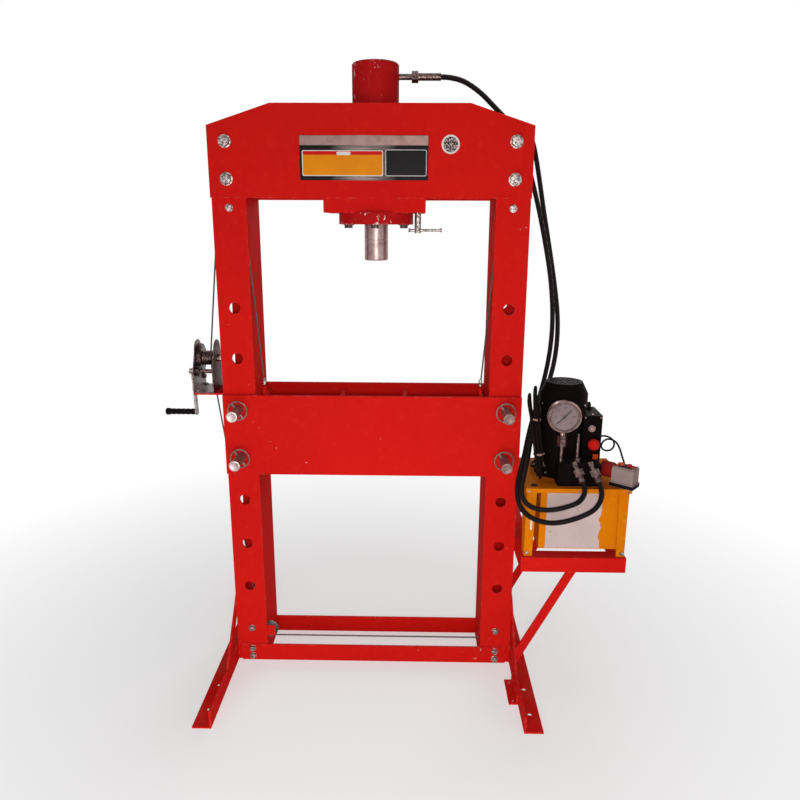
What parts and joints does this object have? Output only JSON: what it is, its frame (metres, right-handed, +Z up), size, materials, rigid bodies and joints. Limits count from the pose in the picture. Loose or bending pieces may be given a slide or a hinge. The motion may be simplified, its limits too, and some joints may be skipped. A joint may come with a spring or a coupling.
{
  "type": "hydraulic press",
  "caption": "Red H-frame hydraulic shop press with a pinned, winch-lifted bed, a top cylinder and an electric pump unit on a side shelf.",
  "frame": {"origin": "on the floor, midway between the uprights and at the middle of their depth", "axes": "+X towards the pump side, +Y towards the back, +Z up"},
  "size_m": [1.5411, 0.9, 1.989],
  "materials": {
    "press_red": "gloss paint",
    "zinc": "zinc plated",
    "bright_steel": "ground",
    "pulley_iron": "as cast",
    "wire_rope": "galvanised",
    "pump_yellow": "gloss paint",
    "motor_black": "satin paint",
    "fan_grey": "moulded",
    "grip_black": "moulded",
    "red_plastic": "moulded",
    "orange_plastic": "moulded",
    "switch_grey": "moulded",
    "hose_rubber": "braided cover",
    "cable_rubber": "smooth",
    "gauge_glass": "clear",
    "needle_black": "painted"
  },
  "bodies": {
    "frame": {"bed_ribs": "press_red", "cable_hank": "cable_rubber", "control_box": "motor_black", "cylinder_barrel": "press_red", "cylinder_flange": "press_red", "fan_cover": "motor_black", "fittings": "zinc", "frame_bolts": "zinc", "front_bed_plate": "press_red", "front_crosshead_plate": "press_red", "gauge_case": "bright_steel", "gauge_lens": "gauge_glass", "gland_bush": "bright_steel", "head_plate": "press_red", "left_foot": "press_red", "left_lift_rope": "wire_rope", "left_upright": "press_red", "motor_body": "motor_black", "oil_tank": "pump_yellow", "power_cable": "cable_rubber", "pressure_hose": "hose_rubber", "pump_shelf": "press_red", "rear_bed_plate": "press_red", "rear_crosshead_plate": "press_red", "return_hose": "hose_rubber", "right_foot": "press_red", "right_lift_rope": "wire_rope", "right_upright": "press_red", "signal_cable": "cable_rubber", "switch_box": "switch_grey", "switch_shroud": "red_plastic", "tank_cover": "pump_yellow", "tank_legs": "pump_yellow", "tie_bars": "press_red", "valve_block": "motor_black", "winch_bracket": "press_red", "winch_frame": "zinc"},
    "ram": {"ram": "bright_steel", "ram_nose": "bright_steel"},
    "upper_left_pin": {"upper_left_pin": "zinc"},
    "upper_right_pin": {"upper_right_pin": "zinc"},
    "lower_left_pin": {"lower_left_pin": "zinc"},
    "lower_right_pin": {"lower_right_pin": "zinc"},
    "lock_screw": {"lock_screw": "zinc"},
    "tommy_bar": {"tommy_bar": "zinc"},
    "winch_drum": {"winch_drum": "zinc"},
    "crank": {"winch_pinion": "zinc", "crank_arm": "zinc"},
    "crank_grip": {"crank_grip": "grip_black"},
    "ratchet_pawl": {"ratchet_pawl": "zinc"},
    "top_left_pulley": {"top_left_pulley": "pulley_iron"},
    "top_right_pulley": {"top_right_pulley": "pulley_iron"},
    "low_right_pulley": {"low_right_pulley": "pulley_iron"},
    "guide_pulley": {"guide_pulley": "pulley_iron"},
    "motor_fan": {"motor_fan": "fan_grey"},
    "gauge_needle": {"gauge_needle": "needle_black"},
    "stop_knob": {"stop_knob": "red_plastic"},
    "rocker_switch": {"rocker_switch": "red_plastic"},
    "start_button": {"start_button": "orange_plastic"},
    "off_button": {"off_button": "red_plastic"}
  },
  "joints": [
    {"name": "ram_slide", "type": "slide", "parent": "frame", "child": "ram", "axis": [0, 0, -1], "range_m": [0, 0.2]},
    {"name": "upper_left_pin_slide", "type": "slide", "parent": "frame", "child": "upper_left_pin", "axis": [0, -1, 0], "range_m": [0, 0.21]},
    {"name": "upper_right_pin_slide", "type": "slide", "parent": "frame", "child": "upper_right_pin", "axis": [0, -1, 0], "range_m": [0, 0.21]},
    {"name": "lower_left_pin_slide", "type": "slide", "parent": "frame", "child": "lower_left_pin", "axis": [0, -1, 0], "range_m": [0, 0.21]},
    {"name": "lower_right_pin_slide", "type": "slide", "parent": "frame", "child": "lower_right_pin", "axis": [0, -1, 0], "range_m": [0, 0.21]},
    {"name": "lock_screw_turn", "type": "hinge", "parent": "frame", "child": "lock_screw", "pos_m": [0.144, -0.04, 1.52], "axis": [0, 0, 1], "range_deg": [-180, 180]},
    {"name": "tommy_bar_slide", "type": "slide", "parent": "lock_screw", "child": "tommy_bar", "axis": [1, 0, 0], "range_m": [-0.0585, 0.0125]},
    {"name": "drum_spin", "type": "hinge", "parent": "frame", "child": "winch_drum", "pos_m": [-0.547, -0.014, 1.088], "axis": [1, 0, 0], "continuous": true},
    {"name": "crank_spin", "type": "hinge", "parent": "frame", "child": "crank", "pos_m": [-0.547, -0.062, 1.052], "axis": [1, 0, 0], "continuous": true},
    {"name": "grip_spin", "type": "hinge", "parent": "crank", "child": "crank_grip", "pos_m": [-0.62, -0.04716, 0.91078], "axis": [1, 0, 0], "continuous": true},
    {"name": "pawl_lift", "type": "hinge", "parent": "frame", "child": "ratchet_pawl", "pos_m": [-0.573, 0.015, 1.02], "axis": [1, 0, 0], "range_deg": [0, 40]},
    {"name": "top_left_pulley_spin", "type": "hinge", "parent": "frame", "child": "top_left_pulley", "pos_m": [-0.4325, -0.072, 1.568], "axis": [0, 1, 0], "continuous": true},
    {"name": "top_right_pulley_spin", "type": "hinge", "parent": "frame", "child": "top_right_pulley", "pos_m": [0.4325, -0.072, 1.568], "axis": [0, 1, 0], "continuous": true},
    {"name": "low_right_pulley_spin", "type": "hinge", "parent": "frame", "child": "low_right_pulley", "pos_m": [0.4325, -0.072, 0.124], "axis": [0, 1, 0], "continuous": true},
    {"name": "guide_pulley_spin", "type": "hinge", "parent": "frame", "child": "guide_pulley", "pos_m": [-0.372, -0.072, 0.1105], "axis": [0, 1, 0], "continuous": true},
    {"name": "fan_spin", "type": "hinge", "parent": "frame", "child": "motor_fan", "pos_m": [0.625, -0.07, 0.96], "axis": [0, 0, 1], "continuous": true},
    {"name": "needle_turn", "type": "hinge", "parent": "frame", "child": "gauge_needle", "pos_m": [0.602, -0.21, 0.947], "axis": [0, 1, 0], "range_deg": [0, 270], "stiffness_Nm_per_rad": 0.002},
    {"name": "stop_knob_push", "type": "slide", "parent": "frame", "child": "stop_knob", "axis": [0, 1, 0], "range_m": [0, 0.006], "stiffness_N_per_m": 400},
    {"name": "rocker_tilt", "type": "hinge", "parent": "frame", "child": "rocker_switch", "pos_m": [0.726, -0.12833, 0.79], "axis": [1, 0, 0], "range_deg": [-10, 10]},
    {"name": "start_button_push", "type": "slide", "parent": "frame", "child": "start_button", "axis": [0, 0, -1], "range_m": [0, 0.003], "stiffness_N_per_m": 400},
    {"name": "off_button_push", "type": "slide", "parent": "frame", "child": "off_button", "axis": [0, 0, -1], "range_m": [0, 0.003], "stiffness_N_per_m": 400}
  ],
  "couplings": [
    {"joint": "crank_spin", "follows": "drum_spin", "ratio": -3},
    {"joint": "top_left_pulley_spin", "follows": "drum_spin", "ratio": -0.73333},
    {"joint": "top_right_pulley_spin", "follows": "drum_spin", "ratio": 0.73333},
    {"joint": "low_right_pulley_spin", "follows": "drum_spin", "ratio": 0.73333},
    {"joint": "guide_pulley_spin", "follows": "drum_spin", "ratio": 1.1458}
  ]
}
